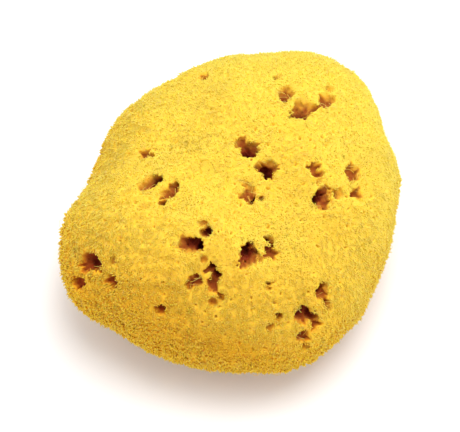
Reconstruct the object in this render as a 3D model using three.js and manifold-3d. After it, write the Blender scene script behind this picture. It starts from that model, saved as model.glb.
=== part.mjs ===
// Sea sponge: a dried yellow bath sponge, grown as one piece. Millimetres, +Z up.
// It is a low rounded cushion with soft lobes, cut flat underneath where it grew on rock.
// Wide mouths (oscula) open on its skin, and each leads into a canal towards the heart of
// the sponge. The cut base shows the round mouths of the canals that the knife went through.
// The origin is the middle of the finished sponge, on the surface that it rests on.

import * as THREE from 'three';
import { mergeVertices } from 'three/addons/utils/BufferGeometryUtils.js';
import Module from 'manifold-3d';

const wasm = await Module();
wasm.setup();

// The heart is the point that the canals lead to, in height above the cut base.
const HEART = new THREE.Vector3(0, 0, 34);

// Lobes of growth: centre and half-sizes of the ellipsoids that the skin wraps.
const LOBES = [
  { centre: [2, 9, 32], half: [62, 65, 37] },
  { centre: [-18, -18, 36], half: [50, 39, 34] },
  { centre: [6, 24, 33], half: [28, 49, 37] },
  { centre: [32, 19, 37], half: [34, 55, 33] },
  { centre: [10, -22, 29], half: [46, 41, 29] },
];
const LOBE_BLEND = 10; // higher follows the outermost lobe more sharply

// Directions from the heart are given as a bearing, anticlockwise from +X seen from above,
// and a tilt from straight up, both in degrees.

// Gentle swells and hollows of the skin, with the height of each and how far it spreads.
const SWELLS = [
  { bearing: -133, tilt: 93, spread: 13, height: -2.6 },
  { bearing: 158, tilt: 83, spread: 14, height: -2.0 },
  { bearing: -28, tilt: 95, spread: 11, height: -1.4 },
  { bearing: 30, tilt: 82, spread: 9, height: -1.2 },
  { bearing: -118, tilt: 71, spread: 9, height: -2.4 },
  { bearing: -143, tilt: 66, spread: 10, height: -1.4 },
  { bearing: -49, tilt: 98, spread: 10, height: -2.4 },
  { bearing: -177, tilt: 82, spread: 9, height: 2.4 },
  { bearing: -147, tilt: 92, spread: 9, height: 1.7 },
  { bearing: -69, tilt: 101, spread: 8, height: 1.4 },
  { bearing: 69, tilt: 76, spread: 10, height: 1.7 },
  { bearing: 50, tilt: 79, spread: 12, height: 1.6 },
  { bearing: -110, tilt: 101, spread: 14, height: 1.2 },
  { bearing: -57, tilt: 101, spread: 14, height: 1.0 },
  { bearing: 141, tilt: 85, spread: 9, height: 1.0 },
  { bearing: 13, tilt: 86, spread: 9, height: 1.3 },
];
// Fine unevenness of the skin: its height, and how fast it turns along X, Y, Z and aslant.
const RIPPLE = { height: 0.5, x: 9, y: 8, z: 11, slant: 5 };
const SKIN_DETAIL = 11; // splits of each icosahedron edge

// Mouths on the top and front: direction, radius of the mouth and depth of the canal. A wide
// shallow one is the worn dish round a mouth, and a narrow one is a torn corner of its rim.
const TOP_OSCULA = [
  // the cluster towards the back right
  { bearing: 61, tilt: 53, radius: 2.4, depth: 7 },
  { bearing: 46, tilt: 49, radius: 3.1, depth: 11 },
  { bearing: 51, tilt: 51, radius: 1.3, depth: 4 },
  { bearing: 43, tilt: 57, radius: 2.7, depth: 5 },
  { bearing: 41, tilt: 55, radius: 1.3, depth: 6 },
  { bearing: 47, tilt: 61, radius: 1.4, depth: 2.5 },
  { bearing: 102, tilt: 66, radius: 2.0, depth: 2.5 },
  { bearing: 69, tilt: 59, radius: 1.3, depth: 3 },
  // the deep one at the middle of the top, and its neighbour
  { bearing: 58, tilt: 20, radius: 2.9, depth: 16 },
  { bearing: 75, tilt: 22, radius: 1.8, depth: 3.5 },
  { bearing: 9, tilt: 23, radius: 2.9, depth: 12 },
  { bearing: 16, tilt: 18, radius: 1.6, depth: 6 },
  // the torn one in front of them
  { bearing: -48, tilt: 18, radius: 3.4, depth: 2.8 },
  { bearing: -56, tilt: 22, radius: 1.6, depth: 6 },
  { bearing: -41, tilt: 24, radius: 1.5, depth: 6 },
  { bearing: -38, tilt: 11, radius: 1.2, depth: 3 },
  // the cluster on the right shoulder
  { bearing: 6, tilt: 43, radius: 1.8, depth: 5 },
  { bearing: 1, tilt: 44, radius: 1.6, depth: 7 },
  { bearing: -4, tilt: 45, radius: 1.1, depth: 5 },
  { bearing: 4, tilt: 57, radius: 2.7, depth: 4 },
  { bearing: 1, tilt: 57, radius: 1.5, depth: 5 },
  { bearing: -11, tilt: 49, radius: 2.4, depth: 11 },
  { bearing: -16, tilt: 50, radius: 1.8, depth: 7 },
  { bearing: -19, tilt: 51, radius: 1.3, depth: 4 },
  { bearing: -9, tilt: 54, radius: 1.6, depth: 4 },
  { bearing: -6, tilt: 60, radius: 2.0, depth: 2.5 },
  // the pair and the shallow dent on the left shoulder
  { bearing: -177, tilt: 44, radius: 3.1, depth: 12 },
  { bearing: -174, tilt: 47, radius: 1.9, depth: 5 },
  { bearing: -166, tilt: 33, radius: 1.8, depth: 6 },
  { bearing: -160, tilt: 37, radius: 2.0, depth: 6 },
  { bearing: -155, tilt: 40, radius: 1.4, depth: 5 },
  { bearing: 158, tilt: 52, radius: 2.4, depth: 2.5 },
  // the chain down the front, left of the middle
  { bearing: -111, tilt: 38, radius: 1.9, depth: 7 },
  { bearing: -116, tilt: 35, radius: 1.7, depth: 3 },
  { bearing: -118, tilt: 46, radius: 2.9, depth: 7 },
  { bearing: -112, tilt: 45, radius: 1.9, depth: 10 },
  { bearing: -106, tilt: 50, radius: 1.2, depth: 5 },
  { bearing: -108, tilt: 59, radius: 2.0, depth: 4.5 },
  { bearing: -110, tilt: 61, radius: 1.2, depth: 5 },
  { bearing: -101, tilt: 53, radius: 1.5, depth: 8 },
  { bearing: -98, tilt: 56, radius: 1.9, depth: 8 },
  { bearing: -99, tilt: 60, radius: 2.0, depth: 4.5 },
  { bearing: -95, tilt: 64, radius: 1.4, depth: 5 },
  { bearing: -98, tilt: 66, radius: 1.6, depth: 2.5 },
  // the pair at the middle of the front
  { bearing: -81, tilt: 49, radius: 2.9, depth: 9 },
  { bearing: -77, tilt: 45, radius: 1.6, depth: 8 },
  { bearing: -75, tilt: 49, radius: 1.5, depth: 8 },
  { bearing: -72, tilt: 51, radius: 1.0, depth: 5 },
  { bearing: -86, tilt: 50, radius: 1.2, depth: 3.5 },
  { bearing: -64, tilt: 50, radius: 1.9, depth: 8 },
  { bearing: -68, tilt: 49, radius: 1.2, depth: 5 },
  { bearing: -61, tilt: 46, radius: 1.3, depth: 3 },
  // the cluster low on the front, to the right
  { bearing: -51, tilt: 73, radius: 2.0, depth: 5 },
  { bearing: -49, tilt: 72, radius: 1.4, depth: 7 },
  { bearing: -51, tilt: 78, radius: 1.7, depth: 5 },
  { bearing: -61, tilt: 77, radius: 2.8, depth: 8 },
  { bearing: -58, tilt: 81, radius: 1.9, depth: 9 },
  { bearing: -71, tilt: 75, radius: 1.4, depth: 4.5 },
  { bearing: -75, tilt: 77, radius: 1.5, depth: 5 },
  { bearing: -72, tilt: 63, radius: 1.4, depth: 4 },
  { bearing: -64, tilt: 84, radius: 2.0, depth: 4 },
  { bearing: -64, tilt: 88, radius: 1.2, depth: 4 },
  // the cluster on the left lobe
  { bearing: -151, tilt: 73, radius: 3.9, depth: 7 },
  { bearing: -148, tilt: 71, radius: 1.9, depth: 9 },
  { bearing: -150, tilt: 82, radius: 2.5, depth: 4.5 },
  { bearing: -149, tilt: 80, radius: 1.4, depth: 6 },
  { bearing: -140, tilt: 71, radius: 2.2, depth: 4 },
  { bearing: -138, tilt: 72, radius: 1.2, depth: 5 },
  { bearing: -144, tilt: 66, radius: 1.4, depth: 3 },
  // the lone one in the hollow below the left lobe
  { bearing: -119, tilt: 73, radius: 1.7, depth: 6 },
];

// Mouths on the back and round the lower sides.
const BACK_OSCULA = [
  { bearing: 84, tilt: 79, radius: 3.3, depth: 12 },
  { bearing: 76, tilt: 86, radius: 2.5, depth: 8 },
  { bearing: 112, tilt: 84, radius: 2.8, depth: 9 },
  { bearing: 121, tilt: 92, radius: 2.2, depth: 6 },
  { bearing: 136, tilt: 76, radius: 2.4, depth: 5 },
  { bearing: 148, tilt: 98, radius: 3.1, depth: 10 },
  { bearing: 176, tilt: 94, radius: 2.6, depth: 8 },
  { bearing: 58, tilt: 93, radius: 3.2, depth: 11 },
  { bearing: 40, tilt: 97, radius: 2.2, depth: 6 },
  { bearing: 18, tilt: 99, radius: 2.9, depth: 9 },
  { bearing: 97, tilt: 102, radius: 3.0, depth: 9 },
  { bearing: -6, tilt: 104, radius: 2.3, depth: 7 },
  { bearing: -158, tilt: 103, radius: 2.7, depth: 8 },
  { bearing: -38, tilt: 108, radius: 2.6, depth: 8 },
  { bearing: -86, tilt: 110, radius: 2.8, depth: 8 },
];

const MOUTH_SIDES = { wide: 8, narrow: 5 }; // corners of a mouth, and of one under WIDE radius
const WIDE = 2.2; // mm
const MOUTH_FLARE = 1.28; // width just outside the skin, against the width of the mouth
const MOUTH_OVAL = 0.13; // share of the radius by which a mouth is longer one way
const MOUTH_THREE_SIDED = 0.08; // share of the radius by which it bulges at three sides
const CANAL_BEND = 0.16; // share of its depth by which a canal's end turns aside
const CLEAR_ABOVE = 4; // mm that the cutting shape reaches above the skin

// Half-section of a canal from its blind end up: width as a share of the mouth's radius, and
// how deep it lies as a share of the canal's depth.
const CANAL_SECTION = {
  wide: [[0, 1], [0.4, 1], [0.74, 0.6], [0.94, 0.2]],
  narrow: [[0, 1], [0.4, 1], [0.94, 0.2]],
};
const LIP = 0.35; // height at which the flare is full, as a share of the mouth's radius

// Canal mouths in the cut base, on a spiral about the middle, which stays solid.
const BASE_CANALS = { count: 13, spacing: 8.2, first: 1.5, radius: [1.7, 3.4], depth: [5, 11] };
const SIZE_STRIDE = 5; // steps through the range of sizes from one base canal to the next
const GOLDEN_ANGLE = THREE.MathUtils.degToRad(137.5);

const CUT_BOX = 400; // mm, larger than the sponge every way

function heading(bearing, tilt) {
  return new THREE.Vector3().setFromSphericalCoords(
    1, THREE.MathUtils.degToRad(tilt), THREE.MathUtils.degToRad(bearing + 90),
  ).applyAxisAngle(new THREE.Vector3(1, 0, 0), Math.PI / 2);
}

// Distance from the heart to the far side of a lobe.
function lobeReach(lobe, direction) {
  const half = new THREE.Vector3(...lobe.half);
  const start = HEART.clone().sub(new THREE.Vector3(...lobe.centre)).divide(half);
  const step = direction.clone().divide(half);
  const a = step.dot(step);
  const b = start.dot(step);
  const c = start.dot(start) - 1;
  return (-b + Math.sqrt(Math.max(b * b - a * c, 0))) / a;
}

// Distance from the heart to the skin.
function skinReach(direction) {
  const blend = LOBES.reduce((sum, lobe) => sum + lobeReach(lobe, direction) ** LOBE_BLEND, 0);
  let reach = blend ** (1 / LOBE_BLEND);
  for (const swell of SWELLS) {
    const away = THREE.MathUtils.radToDeg(direction.angleTo(heading(swell.bearing, swell.tilt)));
    reach += swell.height * Math.exp(-((away / swell.spread) ** 2));
  }
  const { x, y, z } = direction;
  const broad = Math.sin(RIPPLE.x * x + 1) * Math.sin(RIPPLE.y * y + 2);
  return reach + RIPPLE.height * (broad + Math.sin(RIPPLE.z * z + RIPPLE.slant * x));
}

function toManifold(geometry) {
  const bare = geometry.clone();
  bare.deleteAttribute('normal');
  bare.deleteAttribute('uv');
  const merged = mergeVertices(bare, 1e-5);
  return new wasm.Manifold(new wasm.Mesh({
    numProp: 3,
    vertProperties: new Float32Array(merged.attributes.position.array),
    triVerts: new Uint32Array(merged.index.array),
  }));
}

function toGeometry(solid) {
  const mesh = solid.getMesh();
  const geometry = new THREE.BufferGeometry();
  geometry.setAttribute('position', new THREE.BufferAttribute(mesh.vertProperties, 3));
  geometry.setIndex(new THREE.BufferAttribute(mesh.triVerts, 1));
  return geometry;
}

// The whole growth, before the knife and without its holes.
function growthSolid() {
  const geometry = new THREE.IcosahedronGeometry(1, SKIN_DETAIL);
  const position = geometry.attributes.position;
  const vertex = new THREE.Vector3();
  for (let i = 0; i < position.count; i += 1) {
    vertex.fromBufferAttribute(position, i).normalize();
    vertex.multiplyScalar(skinReach(vertex)).add(HEART);
    position.setXYZ(i, vertex.x, vertex.y, vertex.z);
  }
  return toManifold(geometry);
}

// The shape of one mouth and its canal: it stands up Y with the skin at zero, is wider
// outside, narrows inwards, is a little out of round and bends aside towards its end.
function canalGeometry(radius, depth, turn) {
  const width = radius > WIDE ? 'wide' : 'narrow';
  const profile = [
    ...CANAL_SECTION[width].map(([across, down]) => [across * radius, -down * depth]),
    [MOUTH_FLARE * radius, LIP * radius],
    [MOUTH_FLARE * radius, CLEAR_ABOVE],
    [0, CLEAR_ABOVE],
  ].map(([across, along]) => new THREE.Vector2(across, along));
  const geometry = new THREE.LatheGeometry(profile, MOUTH_SIDES[width]);
  const position = geometry.attributes.position;
  for (let i = 0; i < position.count; i += 1) {
    const y = position.getY(i);
    const around = Math.atan2(position.getZ(i), position.getX(i));
    const oval = MOUTH_OVAL * Math.sin(2 * around + turn);
    const uneven = 1 + oval + MOUTH_THREE_SIDED * Math.sin(3 * around + 2 * turn);
    const inward = Math.min(y, 0) / depth;
    const aside = CANAL_BEND * depth * inward * inward;
    position.setX(i, position.getX(i) * uneven + aside * Math.cos(turn));
    position.setZ(i, position.getZ(i) * uneven + aside * Math.sin(turn));
  }
  return geometry;
}

function placeCanal(geometry, outward, mouth) {
  const up = new THREE.Vector3(0, 1, 0);
  geometry.applyQuaternion(new THREE.Quaternion().setFromUnitVectors(up, outward));
  geometry.translate(mouth.x, mouth.y, mouth.z);
  return toManifold(geometry);
}

function skinCanals() {
  return [...TOP_OSCULA, ...BACK_OSCULA].map(({ bearing, tilt, radius, depth }, i) => {
    const outward = heading(bearing, tilt);
    const mouth = outward.clone().multiplyScalar(skinReach(outward)).add(HEART);
    return placeCanal(canalGeometry(radius, depth, i * GOLDEN_ANGLE), outward, mouth);
  });
}

function baseCanals(middle) {
  const down = new THREE.Vector3(0, 0, -1);
  const { count, spacing, first, radius, depth } = BASE_CANALS;
  return Array.from({ length: count }, (_, i) => {
    const size = (i * SIZE_STRIDE % count) / (count - 1);
    const away = spacing * Math.sqrt(i + first);
    const angle = i * GOLDEN_ANGLE;
    const mouth = new THREE.Vector3(away * Math.cos(angle), away * Math.sin(angle), 0).add(middle);
    const shape = canalGeometry(
      THREE.MathUtils.lerp(...radius, size), THREE.MathUtils.lerp(...depth, size), angle,
    );
    return placeCanal(shape, down, mouth);
  });
}

function spongeGeometry() {
  const above = new THREE.BoxGeometry(CUT_BOX, CUT_BOX, CUT_BOX).translate(0, 0, CUT_BOX / 2);
  const cut = growthSolid().intersect(toManifold(above));
  const box = cut.boundingBox();
  const middle = new THREE.Vector3(
    (box.min[0] + box.max[0]) / 2, (box.min[1] + box.max[1]) / 2, 0,
  );
  let solid = cut;
  for (const canal of [...skinCanals(), ...baseCanals(middle)]) {
    solid = solid.subtract(canal);
  }
  return toGeometry(solid).translate(-middle.x, -middle.y, 0);
}

const spongin = new THREE.MeshStandardMaterial({ color: 0xf2cd4c, roughness: 0.95, metalness: 0 });

const sponge = new THREE.Mesh(spongeGeometry(), spongin);
sponge.name = 'sponge';

const seaSponge = new THREE.Group();
seaSponge.name = 'sea_sponge';
seaSponge.add(sponge);

export default seaSponge;
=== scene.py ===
"""A dried yellow sea sponge, cut flat from the rock that it grew on, resting on a pale table."""

import math

import bpy
import numpy as np
import openvdb as vdb
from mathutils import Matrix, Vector
from mathutils.kdtree import KDTree


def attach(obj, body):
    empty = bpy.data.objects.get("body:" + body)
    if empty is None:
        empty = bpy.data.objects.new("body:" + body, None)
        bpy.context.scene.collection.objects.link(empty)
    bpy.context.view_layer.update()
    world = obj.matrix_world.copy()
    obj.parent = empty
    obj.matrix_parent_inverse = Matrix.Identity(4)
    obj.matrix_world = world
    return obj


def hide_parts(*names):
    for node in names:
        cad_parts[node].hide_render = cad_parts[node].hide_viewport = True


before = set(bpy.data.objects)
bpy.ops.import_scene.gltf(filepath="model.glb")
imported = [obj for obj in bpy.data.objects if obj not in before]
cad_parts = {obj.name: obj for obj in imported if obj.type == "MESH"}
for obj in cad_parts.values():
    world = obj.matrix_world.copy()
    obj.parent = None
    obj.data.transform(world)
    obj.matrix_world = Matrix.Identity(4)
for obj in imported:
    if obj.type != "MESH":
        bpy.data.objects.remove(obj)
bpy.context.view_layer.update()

# ---------------------------------------------------------------------------------------
# The skeleton: one springy mass of spongin fibre, which grew on a rock and was cut off flat.
# Wide mouths lead into its canals, with torn rims. Its skin is worn into low lumps and is
# pricked all over by the pores that the living sponge drew water in through.
# ---------------------------------------------------------------------------------------
MM = 0.001
VOXEL = 0.6  # mm
BAND = 8  # voxels each side of a skin in which its distances are true
SKIN_SETBACK = 0.75  # mm that the mass lies under the tips of its tufts
CUT_BLEND = 5.0  # mm above the cut over which the setback dies away, so that the cut stays flat
HEAL_VOXEL = 1.5  # mm, for the sponge as it would be with no mouths
HEAL_REACH = 8.0  # mm, wider than the radius of any mouth
MARGIN = 6  # voxels of empty space kept round the sponge

rng = np.random.default_rng(20)


def mesh_arrays(mesh):
    """Points in mm and triangles of a mesh."""
    points = np.empty(len(mesh.vertices) * 3, np.float32)
    mesh.vertices.foreach_get("co", points)
    mesh.calc_loop_triangles()
    triangles = np.empty(len(mesh.loop_triangles) * 3, np.int32)
    mesh.loop_triangles.foreach_get("vertices", triangles)
    return points.reshape(-1, 3) / MM, triangles.reshape(-1, 3)


def level_set(points, triangles, quads, voxel):
    """Distance to a closed mesh, less than zero inside."""
    return vdb.FloatGrid.createLevelSetFromPolygons(
        points.astype(np.float32),
        triangles=triangles.astype(np.uint32),
        quads=quads.astype(np.uint32),
        transform=vdb.createLinearTransform(voxelSize=voxel),
        halfWidth=BAND,
    )


def moved_skin(grid, outward):
    """The same shape with its skin moved outward, as a new distance grid."""
    voxel = grid.transform.voxelSize()[0]
    points, quads = grid.convertToQuads(isovalue=outward)
    return level_set(points, np.empty((0, 3)), quads, voxel)


def dense(grid, low, shape):
    """The grid's values in a box of voxels."""
    values = np.empty(shape, np.float32)
    grid.copyToArray(values, ijk=tuple(int(i) for i in low))
    return values


def ease(part):
    """0 to 1 with a flat start and end."""
    return part * part * (3 - 2 * part)


def rise(value, start, end):
    """0 before start, 1 after end, smooth between."""
    return ease(np.clip((value - start) / (end - start), 0, 1))


def stretched(field, places, easing=ease):
    """A coarse field read at finer places along each of its axes."""
    for axis, place in enumerate(places):
        cell = place.astype(int)
        part = easing(place - cell).astype(np.float32)
        part = part.reshape([-1 if a == axis else 1 for a in range(3)])
        field = np.take(field, cell, axis) * (1 - part) + np.take(field, cell + 1, axis) * part
    return field


def lumps(*size):
    """Smooth random lumps of about that size in mm, or sizes in X, Y and Z, from -1 to 1."""
    sizes = np.broadcast_to(size, 3)
    steps = [int(n * VOXEL / s) + 4 for n, s in zip(shape, sizes)]
    field = rng.uniform(-1, 1, steps).astype(np.float32)
    return stretched(field, [np.arange(n) * VOXEL / s + 1 for n, s in zip(shape, sizes)])


def slopes(field):
    """Which way a field rises, as a unit vector in every voxel."""
    rising = np.stack(np.gradient(field), -1)
    return rising / np.maximum(np.linalg.norm(rising, axis=-1, keepdims=True), 1e-6)


def sample(field, points):
    """Values of a field at points in mm, smoothly between voxels."""
    place = points / VOXEL - low
    cell = np.clip(np.floor(place).astype(int), 0, np.array(shape) - 2)
    part = np.clip(place - cell, 0, 1)
    total = 0
    for corner in np.ndindex(2, 2, 2):
        weight = np.prod(np.where(corner, part, 1 - part), axis=1)
        value = field[tuple((cell + corner).T)]
        total = total + (weight if value.ndim == 1 else weight[:, None]) * value
    return total


def carve(field, start, end, start_radius, end_radius):
    """Adds a round-ended, tapered slot between two points in mm to a field of what is cut out."""
    reach = max(start_radius, end_radius) + 2 * VOXEL
    first = np.floor((np.minimum(start, end) - reach) / VOXEL).astype(int) - low
    last = np.ceil((np.maximum(start, end) + reach) / VOXEL).astype(int) - low
    first, last = np.clip(first, 0, shape), np.clip(last, 0, shape)
    if (last <= first).any():
        return
    axes = [(np.arange(first[a], last[a]) + low[a]) * VOXEL for a in range(3)]
    near = np.stack(np.meshgrid(*axes, indexing="ij"), -1)
    run = end - start
    part = np.clip(((near - start) @ run) / max(run @ run, 1e-9), 0, 1)
    away = np.linalg.norm(near - start - part[..., None] * run, axis=-1)
    window = tuple(slice(a, b) for a, b in zip(first, last))
    hollow = start_radius + part * (end_radius - start_radius) - away
    field[window] = np.maximum(field[window], hollow)


def tree_of(points):
    """The points, ready to be asked which is nearest."""
    tree = KDTree(len(points))
    for i, point in enumerate(points):
        tree.insert(point, i)
    tree.balance()
    return tree


def spread_out(points, spacing):
    """Picks points in random order so that no two are nearer than the spacing."""
    tree = tree_of(points)
    free = np.ones(len(points), bool)
    kept = []
    for i in rng.permutation(len(points)):
        if free[i]:
            kept.append(i)
            for _, j, _ in tree.find_range(points[i], spacing):
                free[j] = False
    return points[kept]


def across(direction):
    """Two directions square to each given one."""
    side = np.cross(direction, np.where(np.abs(direction[:, 2:]) > 0.8, [1, 0, 0], [0, 0, 1]))
    side /= np.linalg.norm(side, axis=1, keepdims=True)
    return side, np.cross(direction, side)


# Distances to the CAD skin, and how deep each voxel lies under the skin with its mouths healed.
cad_points, cad_triangles = mesh_arrays(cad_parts["sponge"].data)
no_quads = np.empty((0, 4))
raw = level_set(cad_points, cad_triangles, no_quads, VOXEL)
healed = level_set(cad_points, cad_triangles, no_quads, HEAL_VOXEL)
healed = moved_skin(moved_skin(healed, HEAL_REACH), -HEAL_REACH)

low = np.floor(cad_points.min(0) / VOXEL).astype(int) - MARGIN
shape = tuple(np.ceil(cad_points.max(0) / VOXEL).astype(int) + MARGIN + 1 - low)
distance = dense(raw, low, shape)
heal_low = np.floor(low * VOXEL / HEAL_VOXEL).astype(int) - 1
heal_shape = tuple(int(n * VOXEL / HEAL_VOXEL) + 4 for n in shape)
heal_places = [
    (np.arange(n) + low[a]) * VOXEL / HEAL_VOXEL - heal_low[a] for a, n in enumerate(shape)
]
depth = -stretched(dense(healed, heal_low, heal_shape), heal_places, easing=np.asarray)
outward = -slopes(depth)
height = (np.arange(shape[2]) + low[2])[None, None, :] * VOXEL

# Sponges are handled most on the side that faces up and back, where the skin is rubbed smooth.
RUBBED_WAY = np.array([-0.25, 0.7, 0.67])
RUBBED_FACING = (0.7, 1.0)  # how squarely the skin faces that way where the rubbing starts, is full
RUBBED_WEAR = 0.5  # share of a lump's height that is rubbed off
rubbed = rise(outward @ RUBBED_WAY, *RUBBED_FACING)

# The mass under its tufts: worn into lumps outside, and torn at the rims and walls of its mouths.
LUMP_HEIGHTS = {5.0: 0.45, 2.4: 0.25}  # mm across: mm high
FURROW_SIZE = (8.0, 2.4, 2.8)  # mm, of the long low furrows on the left lobe
FURROW_HEIGHT = 0.8
FURROWED = (-5, 40)  # mm to the left of the middle where they start and where they are full
TEAR_HEIGHTS = {2.6: 0.9, 1.4: 1.0}  # mm across: mm high
TEAR_START = 0.8  # mm down or across a mouth where the tears are full
above_cut = rise(height, 0, CUT_BLEND)
body = distance + SKIN_SETBACK * above_cut
for size, amount in LUMP_HEIGHTS.items():
    body += amount * lumps(size) * above_cut * (1 - RUBBED_WEAR * rubbed)
leftward = rise(-(np.arange(shape[0]) + low[0]) * VOXEL, *FURROWED)[:, None, None]
body += FURROW_HEIGHT * lumps(*FURROW_SIZE) * above_cut * leftward
torn = rise(depth + distance, 0, TEAR_START) * above_cut
for size, amount in TEAR_HEIGHTS.items():
    body += amount * lumps(size) * torn
UNCUT = -9.0  # mm, for voxels far from any slit or pore
slits = np.full(shape, UNCUT, np.float32)  # mm that each voxel lies inside a slit
carved = np.full(shape, UNCUT, np.float32)  # the same for pores, and then for both

# Each mouth, found where the healed skin is open, has a bevelled rim and slits torn from it.
MOUTH_OPEN = 0.9  # mm from the nearest wall that a spot on the healed skin has to be
MOUTHS_APART = 1.3  # of a mouth's radius, from its middle to that of the next
MOUTH_TAPER = 0.7  # of its radius, just inside it
BEVEL = 0.9  # mm
SLITS = (4, 9)  # the least for one mouth, and one more than the most
SLIT_START = 0.6  # of the mouth's radius, from its middle
SLIT_REACH = (0.6, 2.8)  # mm past the rim
SLIT_RADIUS = (0.35, 0.6)
SLIT_FLARE = 1.5  # of that radius, at the end in the mouth
SLIT_DIP = 0.4  # mm that the end in the mouth lies deeper
SLIT_DEPTHS = (0.6, 1.7, 2.8)  # mm under the healed skin, of the slots that make one slit
SLIT_SHORTENS = 0.6  # mm from each slot to the one below
skin_spots, _ = healed.convertToQuads(isovalue=0)
skin_spots = skin_spots[skin_spots[:, 2] > CUT_BLEND]
open_by = sample(distance, skin_spots)
mouths = []
for i in np.argsort(-open_by):
    if open_by[i] < MOUTH_OPEN:
        break
    if all(np.linalg.norm(skin_spots[i] - at) > MOUTHS_APART * wide for at, wide in mouths):
        mouths.append((skin_spots[i], open_by[i]))
mouth_ways = sample(outward, np.array([at for at, _ in mouths]))
mouth_sides, mouth_others = across(mouth_ways)
for (at, wide), way, side, other in zip(mouths, mouth_ways, mouth_sides, mouth_others):
    carve(body, at + way, at - way, wide + BEVEL, wide * MOUTH_TAPER)
    for turn in rng.uniform(0, 2 * math.pi, rng.integers(*SLITS)):
        along = side * math.cos(turn) + other * math.sin(turn)
        reach, narrow = rng.uniform(*SLIT_REACH), rng.uniform(*SLIT_RADIUS)
        for level, down in enumerate(SLIT_DEPTHS):
            inner = at + along * wide * SLIT_START - way * (down + SLIT_DIP)
            outer = at + along * (wide + reach - SLIT_SHORTENS * level) - way * down
            carve(slits, inner, outer, narrow * SLIT_FLARE, narrow)

# Pores: large ones that show as dots, small ones everywhere, and the cells that the knife opened.
PORES = [  # mm between them, radius, depth, and the share that the rubbed side keeps
    (3.9, (0.4, 0.85), (1.8, 3.4), 0.25),
    (2.1, (0.28, 0.5), (1.0, 2.0), 0.4),
]
PORE_SPREAD = 1.3  # of its radius, from the middle of a pore to each of its two parts
PORE_TAPER = 0.5  # of its radius and spread, at its bottom
PORE_CHANCE = 0.7
CHANCE_VARIES = 0.5  # more or less than that, from patch to patch
LOWEST_PORE = 1.5  # mm above the table
CUT_CELLS = (1.9, (0.35, 0.85), (0.9, 2.6))  # mm between them, radius and depth
CELL_TAPER = 0.7
CUT_HEIGHT = 0.3  # mm under which a spot belongs to the cut
PATCH_SIZE = 16.0  # mm, of the skin with more or fewer pores
fine_spots, _ = raw.convertToQuads(isovalue=0)
on_cut = fine_spots[:, 2] < CUT_HEIGHT
patches = lumps(PATCH_SIZE)
for spacing, radius, reach, kept_share in PORES:
    pores = spread_out(fine_spots[fine_spots[:, 2] > LOWEST_PORE], spacing)
    chance = PORE_CHANCE + CHANCE_VARIES * sample(patches, pores)
    chance = chance * (1 - (1 - kept_share) * sample(rubbed, pores))
    pores = pores[rng.random(len(pores)) < chance]
    ways = sample(outward, pores)
    for at, way, side, other in zip(pores, ways, *across(ways)):
        wide, turn = rng.uniform(*radius), rng.uniform(0, 2 * math.pi)
        aside = side * math.cos(turn) + other * math.sin(turn)
        aside = aside * wide * rng.uniform(0, PORE_SPREAD)
        for part, down in ((aside, rng.uniform(*reach)), (-aside, rng.uniform(*reach))):
            bottom = at + part * PORE_TAPER - way * down
            carve(carved, at + part + way, bottom, wide, wide * PORE_TAPER)
spacing, radius, reach = CUT_CELLS
for at in spread_out(fine_spots[on_cut], spacing):
    wide = rng.uniform(*radius)
    carve(carved, at, at + np.array([0, 0, rng.uniform(*reach)]), wide, wide * CELL_TAPER)
carved = np.maximum(carved, slits)
body = np.maximum(body, carved)

OUTSIDE = 3.0  # mm, for the space beyond the box of voxels
grid = vdb.FloatGrid(OUTSIDE)
grid.transform = vdb.createLinearTransform(voxelSize=VOXEL)
grid.copyFromArray(np.ascontiguousarray(body, np.float32), ijk=tuple(int(i) for i in low))
mass_points, mass_quads = grid.convertToQuads(isovalue=0)


def make_mesh(name, points, faces):
    """A smooth-shaded mesh object from points in mm and rows of corner numbers."""
    mesh = bpy.data.meshes.new(name)
    corners = faces.shape[1]
    mesh.vertices.add(len(points))
    mesh.vertices.foreach_set("co", (points * MM).astype(np.float32).ravel())
    mesh.loops.add(faces.size)
    mesh.loops.foreach_set("vertex_index", faces.astype(np.int32).ravel())
    mesh.polygons.add(len(faces))
    mesh.polygons.foreach_set("loop_start", np.arange(0, faces.size, corners, dtype=np.int32))
    mesh.update(calc_edges=True)
    mesh.polygons.foreach_set("use_smooth", np.ones(len(faces), bool))
    piece = bpy.data.objects.new(name, mesh)
    bpy.context.scene.collection.objects.link(piece)
    return piece


def largest_part(points, faces):
    """Leaves out crumbs that touch nothing."""
    label = np.arange(len(points))
    edges = np.concatenate([faces[:, [i, (i + 1) % 4]] for i in range(4)])
    while True:
        least = np.minimum(label[edges[:, 0]], label[edges[:, 1]])
        joined = label.copy()
        np.minimum.at(joined, edges[:, 0], least)
        np.minimum.at(joined, edges[:, 1], least)
        joined = joined[joined]
        if (joined == label).all():
            break
        label = joined
    keep = label == np.bincount(label).argmax()
    number = np.cumsum(keep) - 1
    return points[keep], number[faces[keep[faces[:, 0]]]]


def set_values(piece, name, values):
    """Stores one number per point for the material to read."""
    layer = piece.data.attributes.new(name, "FLOAT", "POINT")
    layer.data.foreach_set("value", np.asarray(values, np.float32))


MASS_TRIANGLES = 190_000
CUT_SNAP = 0.35  # mm above the table under which the cut is drawn flat
mass_points, mass_quads = largest_part(mass_points, mass_quads)
skeleton = make_mesh("sponge_skeleton", mass_points, mass_quads[:, ::-1])
thin = skeleton.modifiers.new("thin", "DECIMATE")
thin.ratio = MASS_TRIANGLES / (2 * len(mass_quads))
bpy.context.view_layer.objects.active = skeleton
skeleton.select_set(True)
bpy.ops.object.modifier_apply(modifier=thin.name)
skeleton.select_set(False)
skeleton_points, _ = mesh_arrays(skeleton.data)
skeleton_points[skeleton_points[:, 2] < CUT_SNAP, 2] = 0
skeleton.data.vertices.foreach_set("co", (skeleton_points * MM).astype(np.float32).ravel())

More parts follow.
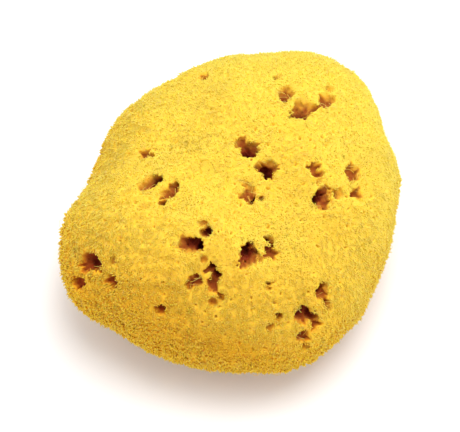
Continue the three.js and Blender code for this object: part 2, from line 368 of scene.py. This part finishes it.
FULL_DEPTH = 11.0  # mm down a canal where its colour and painted shade are darkest
LAMP_FACING_WAY = np.array([0.4, 0.5, 0.77])  # the side that faces up towards the overhead lamp, painted paler as painted light
LAMP_FACING_SPAN = (-0.3, 0.9)  # how squarely the skin faces the lamp where the painted light starts, is full
canal_depth = np.maximum(depth + np.minimum(np.maximum(distance, slits), 0), 0) / FULL_DEPTH
# Painted light: skin that faces the lamp is painted paler, and skin that faces away is painted a deeper
# gold as painted shade. The tufts on the lamp side are also shorter, thinner and looser.
lamp_facing = rise(outward @ LAMP_FACING_WAY, *LAMP_FACING_SPAN)


def linear(code):
    """A colour for the shader from an sRGB hex code."""
    parts = [int(code[i:i + 2], 16) / 255 for i in (1, 3, 5)]
    return [v / 12.92 if v <= 0.04045 else ((v + 0.055) / 1.055) ** 2.4 for v in parts] + [1]


def add_node(tree, kind, settings=None, links=None):
    """Adds a node, sets what is named in settings and joins what is named in links."""
    node = tree.nodes.new(kind)
    for name, value in (settings or {}).items():
        if isinstance(name, int) or name in node.inputs:
            node.inputs[name].default_value = value
        else:
            setattr(node, name, value)
    for name, source in (links or {}).items():
        tree.links.new(source, node.inputs[name])
    return node


# Dried spongin is a springy horn-like fibre: matt and a little translucent. The tips carry a painted
# highlight on the side facing the lamp, and the canals run amber to red-brown with depth, partly their
# own deeper colour and partly painted shade.
# Partly the canals' own deeper amber, and partly painted shade that grows darker with depth.
CANAL_COLOURS_AND_SHADE = [  # share of the full depth, and the colour there
    (0.05, "#E9AE2B"),
    (0.14, "#CE8421"),
    (0.27, "#A44C1D"),
    (0.45, "#80301C"),
    (1.0, "#6E241A"),
]
# Painted light: paler yellow where the skin faces the lamp, and deeper gold as painted shade where it
# faces away.
LIT_SIDE_PAINT = "#EECA45"
SHADE_SIDE_PAINT = "#EDB833"
# Painted shade at the foot of the tufts, in the gaps between them, left off where the skin faces the
# lamp.
GAP_SHADE = "#DA922A"
# Painted highlight: the tips are paler where the skin faces the lamp, and less so down the canals.
TIP_HIGHLIGHT = "#F3D757"
GOLDEN_TINT = "#FFE6B0"
GOLDEN_PATCH = 22 * MM
DEPTH_RAGGED = 2 * MM
WEAVE = 0.7 * MM  # real fibres are a third of this, too fine to show
spongin = bpy.data.materials.new("dried_spongin")
spongin.use_nodes = True
tree = spongin.node_tree
tree.nodes.clear()
place = add_node(tree, "ShaderNodeNewGeometry").outputs["Position"]
canal = add_node(tree, "ShaderNodeAttribute", {"attribute_name": "canal_depth"}).outputs["Fac"]
up_tuft = add_node(tree, "ShaderNodeAttribute", {"attribute_name": "tuft_rise"}).outputs["Fac"]
tone = add_node(tree, "ShaderNodeAttribute", {"attribute_name": "tuft_tone"}).outputs["Fac"]
ragged = add_node(
    tree, "ShaderNodeTexNoise", {"Scale": 1 / DEPTH_RAGGED, "Detail": 2.0}, {"Vector": place}
)
shift = add_node(
    tree, "ShaderNodeMath", {"operation": "MULTIPLY_ADD", 1: 0.1, 2: -0.055},
    {0: ragged.outputs["Fac"]},
)
down = add_node(tree, "ShaderNodeMath", {"operation": "ADD"}, {0: canal, 1: shift.outputs[0]})
in_canal = add_node(tree, "ShaderNodeValToRGB", links={"Fac": down.outputs[0]})
while len(in_canal.color_ramp.elements) < len(CANAL_COLOURS_AND_SHADE):
    in_canal.color_ramp.elements.new(0.5)
for stop, (position, code) in zip(in_canal.color_ramp.elements, CANAL_COLOURS_AND_SHADE):
    stop.position, stop.color = position, linear(code)
# Painted light: the shade-side colour is mixed into the lit-side colour by how squarely the skin faces
# the lamp.
lamp_lit = add_node(tree, "ShaderNodeAttribute", {"attribute_name": "lamp_facing"}).outputs["Fac"]
skin_colour = add_node(
    tree, "ShaderNodeMix", {"data_type": "RGBA", 6: linear(SHADE_SIDE_PAINT), 7: linear(LIT_SIDE_PAINT)}, {0: lamp_lit}
)
# Painted shade: the foot of each tuft takes the gap shade colour, except on the side that faces the
# lamp.
out_of_gap_shade = add_node(
    tree, "ShaderNodeMapRange", {"From Min": 0.2, "From Max": 0.5}, {"Value": up_tuft}
)
lamp_lift = add_node(tree, "ShaderNodeMath", {"operation": "MULTIPLY", 1: 0.85}, {0: lamp_lit})
out_of_gap_shade = add_node(
    tree, "ShaderNodeMath", {"operation": "MAXIMUM"},
    {0: out_of_gap_shade.outputs[0], 1: lamp_lift.outputs[0]},
)
skin_colour = add_node(
    tree, "ShaderNodeMix", {"data_type": "RGBA", 6: linear(GAP_SHADE)},
    {0: out_of_gap_shade.outputs[0], 7: skin_colour.outputs[2]},
)
enter = add_node(
    tree, "ShaderNodeMapRange", {"From Min": 0.02, "From Max": 0.1}, {"Value": down.outputs[0]}
)
by_depth = add_node(
    tree, "ShaderNodeMix", {"data_type": "RGBA"},
    {0: enter.outputs[0], 6: skin_colour.outputs[2], 7: in_canal.outputs["Color"]},
)
shallow = add_node(
    tree, "ShaderNodeMath", {"operation": "MULTIPLY_ADD", 1: -2.5, 2: 1.0, "use_clamp": True},
    {0: down.outputs[0]},
)
# Painted highlight on the tuft tips: grows up each tuft, fades down the canals, and is scaled by how
# squarely the skin faces the lamp.
tip_highlight = add_node(
    tree, "ShaderNodeMath", {"operation": "MULTIPLY"}, {0: up_tuft, 1: shallow.outputs[0]}
)
tip_highlight = add_node(tree, "ShaderNodeMath", {"operation": "MULTIPLY"}, {0: tip_highlight.outputs[0], 1: lamp_lit})
highlighted = add_node(
    tree, "ShaderNodeMix", {"data_type": "RGBA", 7: linear(TIP_HIGHLIGHT)},
    {0: tip_highlight.outputs[0], 6: by_depth.outputs[2]},
)
patch = add_node(
    tree, "ShaderNodeTexNoise", {"Scale": 1 / GOLDEN_PATCH, "Detail": 3.0}, {"Vector": place}
)
golden = add_node(
    tree, "ShaderNodeMath", {"operation": "MULTIPLY_ADD", 1: 0.5, 2: -0.05, "use_clamp": True},
    {0: patch.outputs["Fac"]},
)
tinted = add_node(
    tree, "ShaderNodeMix", {"data_type": "RGBA", "blend_type": "MULTIPLY", 7: linear(GOLDEN_TINT)},
    {0: golden.outputs[0], 6: highlighted.outputs[2]},
)
value = add_node(tree, "ShaderNodeMapRange", {"To Min": 0.93, "To Max": 1.05}, {"Value": tone})
colour = add_node(
    tree, "ShaderNodeHueSaturation", links={"Value": value.outputs[0], "Color": tinted.outputs[2]}
)
weave = add_node(tree, "ShaderNodeTexNoise", {"Scale": 1 / WEAVE, "Detail": 2.0}, {"Vector": place})
bump = add_node(
    tree, "ShaderNodeBump", {"Strength": 0.6, "Distance": 0.3 * MM}, {"Height": weave.outputs["Fac"]}
)
soft = add_node(
    tree, "ShaderNodeMapRange",
    {"From Min": 0.5, "From Max": 0.8, "To Min": 1.0, "To Max": 0.2}, {"Value": up_tuft},
)
shader = add_node(
    tree, "ShaderNodeBsdfPrincipled",
    {
        "Roughness": 0.9, "IOR": 1.45, "Specular IOR Level": 0.04,
        "Subsurface Weight": 0.85, "Subsurface Radius": (1.5 * MM, 1.3 * MM, 0.5 * MM),
    },
    {
        "Base Color": colour.outputs["Color"], "Subsurface Scale": soft.outputs[0],
        "Normal": bump.outputs["Normal"],
    },
)
add_node(tree, "ShaderNodeOutputMaterial", links={"Surface": shader.outputs[0]})


def finish_spongin(piece, places, tuft_rise, tuft_tone):
    """Gives a piece the spongin material and the numbers per point that it reads."""
    set_values(piece, "canal_depth", sample(canal_depth, places))
    set_values(piece, "lamp_facing", sample(lamp_facing, places))
    set_values(piece, "tuft_rise", tuft_rise)
    set_values(piece, "tuft_tone", tuft_tone)
    piece.data.materials.append(spongin)
    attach(piece, "root")


half_way = np.full(len(skeleton_points), 0.5)
finish_spongin(skeleton, skeleton_points, half_way, half_way)
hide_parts("sponge")

# ---------------------------------------------------------------------------------------
# Tufts: the short springy points of fibre that cover the skin like a dense brush. Each
# leans with its neighbours into a small cone, and they shrink away inside the mouths.
# ---------------------------------------------------------------------------------------
TUFT_SPACING = 0.74
CROWN_SPACING = 0.63  # mm, on the finer and shorter pile that faces up
TUFT_LENGTH = (1.0, 1.7)
TUFT_RADIUS = (0.32, 0.45)
TUFT_SIDES = 3
TUFT_ROOT = 0.5  # mm that a tuft starts under the skin
TUFT_LEAN = 0.12  # random, as a share of its length
TUFT_DROOP = 0.15
CONE_SPACING = 1.9  # mm between the cones that tufts lean into
CONE_PULL = 0.65  # share of the way to its cone's middle that a tip leans
CONE_EDGE = 1.1  # mm from its middle where a cone's tufts are shortest
CONE_LENGTHS = (1.15, 0.4)  # of a tuft's length in the middle, and what it loses by the edge
COMB_SIZE = 14.0  # mm over which the way that the skin is combed changes
COMB = 0.7
DEEPEST_TUFT = 6.0  # mm
HOLE_CLEAR = 0.2  # mm that tufts keep from slits and pores
CONE_CLEAR = 0.5  # mm that the middles of cones keep from them
DEEPEST_CONE = 1.8  # mm
RIM_WIDTH = 2.5  # mm from a mouth over which the tufts are more unkempt
RIM_LEAN = 0.4
LOWEST_TIP = 0.25  # mm above the table
LOWEST_POINT = 0.05  # mm above the table, of any point of a shoot
LOWEST_SKIN = 1.0  # mm above the table
SEED_SPREAD = 0.2  # mm that the places where tufts may stand are scattered
CROWN_FACING = 0.6  # how squarely up the skin of the crown faces
UNDER_FACING = -0.35
INSIDE_DEPTHS = (1.3, 3.0)  # mm, where tufts start to shrink and where they are smallest
WALL_SLOPES = (0.3, 0.8)
INSIDE_SHORTER = 0.6  # share of a tuft's length that it loses down a mouth
WALL_SHORTER = 0.4
LAMP_FACING_SHORTER = 0.45
INSIDE_THINNER = 0.3  # share of its radius that it loses down a mouth
LAMP_FACING_THINNER = 0.2
LAMP_FACING_LOOSER = 0.5  # share of its lean into a cone that it loses
RIM_LOOSER = 0.7
TUFT_BEND = 0.6  # of the way up, where a tuft bows out
TUFT_BOW = 0.1
TUFT_WAIST = 0.75  # of its root's radius, at the bend
RING_REACH = 0.45  # of a cell of the unrolled shoots, from its middle to the widest ring
RING_SQUASH = (0.9, 1.0)
RING_MIDDLE = (0.44, 0.5)
HIDDEN_START = ((0.92, 0.3), (0.99, 0.3), (0.92, 0.7))


def grow(name, paths, radii, sides, tones):
    """Closed tapering shoots in one mesh, each along its row of points to a sharp end."""
    count, steps, _ = paths.shape
    way = paths[:, -1] - paths[:, 0]
    way /= np.linalg.norm(way, axis=1, keepdims=True)
    side, other = across(way)
    turn = rng.uniform(0, 2 * math.pi, count)[:, None] + np.arange(sides) * 2 * math.pi / sides
    ring = side[:, None] * np.cos(turn)[..., None] + other[:, None] * np.sin(turn)[..., None]
    rings = paths[:, :-1, None] + ring[:, None] * radii[:, :, None, None]
    points = np.concatenate([rings.reshape(count, -1, 3), paths[:, -1:]], 1)
    points[..., 2] = np.maximum(points[..., 2], LOWEST_POINT)
    each = points.shape[1]
    start = [[0, k + 1, k] for k in range(1, sides - 1)]
    faces = list(start)
    for level in range(steps - 2):
        a = level * sides
        for k in range(sides):
            n = (k + 1) % sides
            faces += [[a + k, a + n, a + n + sides], [a + k, a + n + sides, a + k + sides]]
    last = (steps - 2) * sides
    faces += [[last + k, last + (k + 1) % sides, each - 1] for k in range(sides)]
    faces = np.array(faces)
    all_faces = (np.arange(count) * each)[:, None, None] + faces
    piece = make_mesh(name, points.reshape(-1, 3), all_faces.reshape(-1, 3))

    # Each shoot is unrolled into its own cell of a square, as rings round its tip, with the
    # hidden start beside them.
    spin = np.arange(sides) * 2 * math.pi / sides
    circle = np.stack([np.cos(spin), np.sin(spin)], -1)
    reach = RING_REACH * (1 - np.arange(steps - 1) / (steps - 1))
    flat = np.concatenate([circle * r for r in reach] + [np.zeros((1, 2))])
    flat = flat * RING_SQUASH + RING_MIDDLE
    corners = flat[faces]
    corners[:len(start)] = np.array(HIDDEN_START)
    across_cells = math.ceil(math.sqrt(count))
    cell = np.stack([np.arange(count) % across_cells, np.arange(count) // across_cells], -1)
    spots = (cell[:, None, None] + corners) / across_cells
    layer = piece.data.uv_layers.new(name="OFBake")
    layer.data.foreach_set("uv", spots.astype(np.float32).ravel())

    along = np.append(np.repeat(np.arange(steps - 1) / (steps - 1), sides), 1)
    finish_spongin(piece, np.repeat(paths[:, 0], each, 0), np.tile(along, count), np.repeat(tones, each))


skin = mass_points[mass_points[:, 2] > LOWEST_SKIN]
seeds = np.concatenate([skin, skin]) + rng.normal(0, SEED_SPREAD, (2 * len(skin), 3))
facing_up = sample(outward, seeds)[:, 2] > CROWN_FACING
roots = np.concatenate([
    spread_out(seeds[facing_up], CROWN_SPACING),
    spread_out(seeds[~facing_up], TUFT_SPACING),
])
roots = roots[(sample(depth, roots) < DEEPEST_TUFT) & (sample(carved, roots) < -HOLE_CLEAR)]
root_depth = sample(depth, roots)
root_out = sample(outward, roots)
root_way = sample(slopes(body), roots)
root_lamp_facing = sample(lamp_facing, roots)
inside = rise(root_depth, *INSIDE_DEPTHS)
on_wall = rise(1 - (root_way * root_out).sum(1), *WALL_SLOPES)
from_mouth = np.full(len(roots), 99.0)
for at, wide in mouths:
    from_mouth = np.minimum(from_mouth, np.linalg.norm(roots - at, axis=1) - wide)
unkempt = 1 - rise(from_mouth, 0, RIM_WIDTH)

cones = spread_out(seeds, CONE_SPACING)
cones = cones[(sample(carved, cones) < -CONE_CLEAR) & (sample(depth, cones) < DEEPEST_CONE)]
cone_tree = tree_of(cones)
to_cone = np.array([np.subtract(cone_tree.find(at)[0], at) for at in roots])
to_cone -= root_out * (to_cone * root_out).sum(1, keepdims=True)
from_middle = np.linalg.norm(to_cone, axis=1, keepdims=True) / CONE_EDGE
to_cone /= np.maximum(from_middle, 1)

comb = np.stack([sample(lumps(COMB_SIZE), roots) for _ in range(3)], -1) * COMB
way = root_way * 0.5 + root_out * 0.5 + comb
way += rng.normal(0, 1, way.shape) * (TUFT_LEAN + (RIM_LEAN - TUFT_LEAN) * unkempt)[:, None]
way[:, 2] -= TUFT_DROOP
way /= np.linalg.norm(way, axis=1, keepdims=True)
middle_length, edge_loss = CONE_LENGTHS
lengths = rng.uniform(*TUFT_LENGTH, len(roots))
lengths = lengths * (middle_length - edge_loss * np.minimum(from_middle[:, 0], 1))
lengths *= (1 - INSIDE_SHORTER * inside) * (1 - WALL_SHORTER * on_wall) * (1 - LAMP_FACING_SHORTER * root_lamp_facing)
radii = rng.uniform(*TUFT_RADIUS, len(roots))
radii = radii * (1 - INSIDE_THINNER * inside) * (1 - LAMP_FACING_THINNER * root_lamp_facing)
pull = CONE_PULL * (1 - LAMP_FACING_LOOSER * root_lamp_facing) * (1 - RIM_LOOSER * unkempt)
tips = roots + way * lengths[:, None] + to_cone * pull[:, None]
tips[:, 2] = np.maximum(tips[:, 2], LOWEST_TIP)
starts = roots - way * TUFT_ROOT
bends = starts * (1 - TUFT_BEND) + tips * TUFT_BEND - to_cone * TUFT_BOW
tuft_paths = np.stack([starts, bends, tips], 1)
tuft_radii = radii[:, None] * np.array([1.0, TUFT_WAIST])
tuft_tones = rng.uniform(0, 1, len(roots))

SIDES_FROM_TOP = {"right": 0, "back": 90, "left": 180, "front": 270}  # degrees from +X
bearing = np.degrees(np.arctan2(root_out[:, 1], root_out[:, 0]))
regions = {
    "tufts_crown_front": (root_out[:, 2] > CROWN_FACING) & (roots[:, 1] < 0),
    "tufts_crown_back": (root_out[:, 2] > CROWN_FACING) & (roots[:, 1] >= 0),
    "tufts_under": root_out[:, 2] < UNDER_FACING,
}
flank = ~np.logical_or.reduce(list(regions.values()))
for name, middle in SIDES_FROM_TOP.items():
    regions["tufts_" + name] = flank & (np.abs((bearing - middle + 180) % 360 - 180) <= 45)
for name, chosen in regions.items():
    grow(name, tuft_paths[chosen], tuft_radii[chosen], TUFT_SIDES, tuft_tones[chosen])

# ---------------------------------------------------------------------------------------
# Loose fibres: fine springy threads that have come out of the weave and lie over the skin,
# each in a low arch from one place to another a few millimetres away.
# ---------------------------------------------------------------------------------------
FIBRES = 2200
FIBRE_LENGTH = (2.0, 5.0)
FIBRE_RADIUS = (0.06, 0.1)
FIBRE_LIFT = (0.3, 0.9)  # mm above the skin at its middle
FIBRE_SWAY = 0.35  # mm that its middle strays
FIBRE_END = 0.4  # mm above the skin at its far end
FIBRE_STEPS = 6
FIBRE_TONE = 0.9
DEEPEST_FIBRE = 1.5  # mm under the skin
LOWEST_FIBRE = 4  # mm above the table
THREAD_SIDES = 3


def arcs(starts, ends, lifts, steps):
    """Evenly stepped parabolas from starts to ends, lifted in the middle."""
    part = np.linspace(0, 1, steps)[None, :, None]
    straight = starts[:, None] * (1 - part) + ends[:, None] * part
    return straight + lifts[:, None] * 4 * part * (1 - part)


on_skin = np.flatnonzero((root_depth < DEEPEST_FIBRE) & (roots[:, 2] > LOWEST_FIBRE))
picked = rng.choice(on_skin, FIBRES, replace=False)
side, other = across(root_out[picked])
turn = rng.uniform(0, 2 * math.pi, (FIBRES, 1))
along = (side * np.cos(turn) + other * np.sin(turn)) * rng.uniform(*FIBRE_LENGTH, (FIBRES, 1))
lifts = root_out[picked] * rng.uniform(*FIBRE_LIFT, (FIBRES, 1))
lifts += rng.normal(0, FIBRE_SWAY, (FIBRES, 3))
far_ends = roots[picked] + along + root_out[picked] * FIBRE_END
fibre_paths = arcs(roots[picked], far_ends, lifts, FIBRE_STEPS)
fibre_radii = rng.uniform(*FIBRE_RADIUS, (FIBRES, 1)) * np.ones((1, FIBRE_STEPS - 1))
grow("loose_fibres", fibre_paths, fibre_radii, THREAD_SIDES, np.full(FIBRES, FIBRE_TONE))

# ---------------------------------------------------------------------------------------
# The table, the light and the camera: white paper, one wide lamp overhead in a bright even
# surround, and a long lens looking down at the front of the sponge.
# ---------------------------------------------------------------------------------------
TABLE_HALF = 3.0  # m
table_mesh = bpy.data.meshes.new("table")
table_signs = ((-1, -1), (1, -1), (1, 1), (-1, 1))
table_corners = [(x * TABLE_HALF, y * TABLE_HALF, 0) for x, y in table_signs]
table_mesh.from_pydata(table_corners, [], [(0, 1, 2, 3)])
table = bpy.data.objects.new("table", table_mesh)
bpy.context.scene.collection.objects.link(table)
paper = bpy.data.materials.new("white_paper")
paper.use_nodes = True
paper_shader = paper.node_tree.nodes["Principled BSDF"]
paper_shader.inputs["Base Color"].default_value = (0.93, 0.93, 0.93, 1)
paper_shader.inputs["Roughness"].default_value = 1.0
table.data.materials.append(paper)

world = bpy.data.worlds.new("studio")
bpy.context.scene.world = world
world.use_nodes = True
world.node_tree.nodes["Background"].inputs["Color"].default_value = (1, 1, 1, 1)
world.node_tree.nodes["Background"].inputs["Strength"].default_value = 0.88

SPONGE_MIDDLE = Vector((-0.0009, -0.0067, 0.036))
lamp = bpy.data.lights.new("overhead", "AREA")
lamp.size = 0.7
lamp.energy = 7.7
overhead = bpy.data.objects.new("overhead", lamp)
overhead.location = (0.15, 0.13, 1.0)
overhead.rotation_euler = (SPONGE_MIDDLE - overhead.location).to_track_quat("-Z", "Y").to_euler()
bpy.context.scene.collection.objects.link(overhead)

CAMERA_RISE = math.radians(60)
CAMERA_AWAY = 0.6  # m
camera_data = bpy.data.cameras.new("camera")
camera_data.lens = 114.5
camera = bpy.data.objects.new("camera", camera_data)
camera_way = Vector((0, -math.cos(CAMERA_RISE), math.sin(CAMERA_RISE)))
camera.location = SPONGE_MIDDLE + CAMERA_AWAY * camera_way
camera.rotation_euler = (math.pi / 2 - CAMERA_RISE, 0, 0)
bpy.context.scene.collection.objects.link(camera)
bpy.context.scene.camera = camera
bpy.context.scene.view_settings.view_transform = "Standard"
